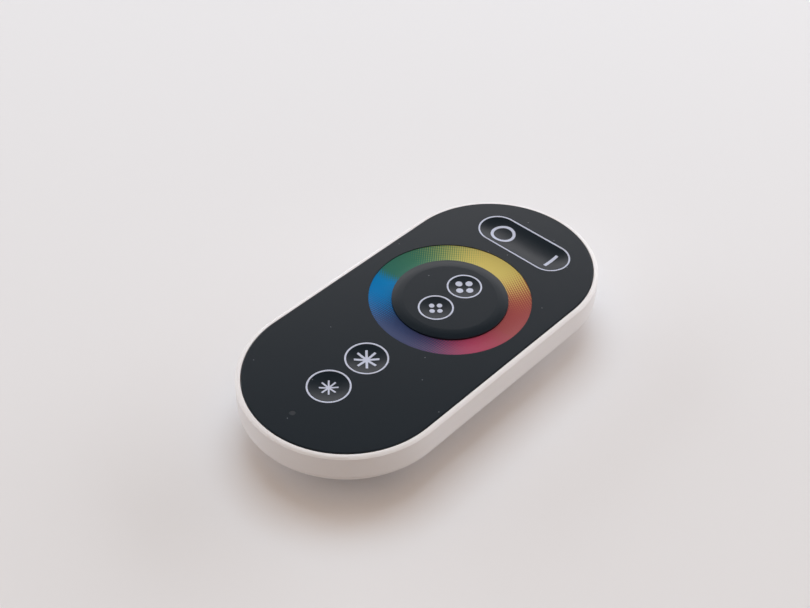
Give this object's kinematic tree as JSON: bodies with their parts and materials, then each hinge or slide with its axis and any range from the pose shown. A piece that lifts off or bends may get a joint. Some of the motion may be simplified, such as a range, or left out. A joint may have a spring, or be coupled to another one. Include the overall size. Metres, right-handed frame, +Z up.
{
  "type": "handheld touch remote control",
  "caption": "Flat stadium-shaped touch remote with a colour ring, pads and a power trough, in a white case whose battery cover slides out of the base.",
  "frame": {"origin": "middle of the base, where the remote rests", "axes": "+Z up out of the touch panel, +Y along the length towards the power pad, +X across the width"},
  "size_m": [0.0556, 0.1132, 0.02],
  "materials": {
    "panel_black": "matt moulded",
    "printed_film": "printed colour ring",
    "clear_plastic": "translucent",
    "case_white": "satin moulded",
    "steel": "zinc plated",
    "tape": "adhesive",
    "board_green": "solder mask",
    "board_blue": "solder mask",
    "copper": "bare",
    "led_body": "clear resin",
    "chip_black": "moulded epoxy",
    "capacitor_sleeve": "shrunk sleeve",
    "capacitor_ceramic": "fired",
    "cell_sleeve": "shrunk sleeve",
    "nickel": "nickel plated",
    "lead_red": "wire insulation",
    "lead_black": "wire insulation"
  },
  "bodies": {
    "case": {"front_panel": "panel_black", "colour_ring": "printed_film", "led_window": "clear_plastic", "upper_housing": "case_white", "lower_shell": "case_white", "case_screws": "steel", "panel_tape": "tape", "board_tape": "tape", "circuit_board": "board_green", "ring_electrodes": "copper", "pad_electrodes": "copper", "status_led": "led_body", "touch_chip": "chip_black", "microcontroller": "chip_black", "clock_crystal": "steel", "voltage_regulator": "chip_black", "buffer_capacitor": "capacitor_sleeve", "chip_capacitors": "capacitor_ceramic", "chip_resistors": "chip_black", "radio_board": "board_blue", "radio_chip": "chip_black", "radio_crystal": "steel", "antenna_trace": "copper", "cell_1": "cell_sleeve", "cell_2": "cell_sleeve", "positive_contact": "nickel", "negative_contact": "nickel", "link_contact": "nickel", "contact_springs": "nickel", "positive_lead": "lead_red", "negative_lead": "lead_black"},
    "cover": {"battery_cover": "case_white"}
  },
  "joints": [
    {"name": "cover_slide", "type": "slide", "parent": "case", "child": "cover", "axis": [0, -1, 0], "range_m": [0, 0.06]}
  ]
}
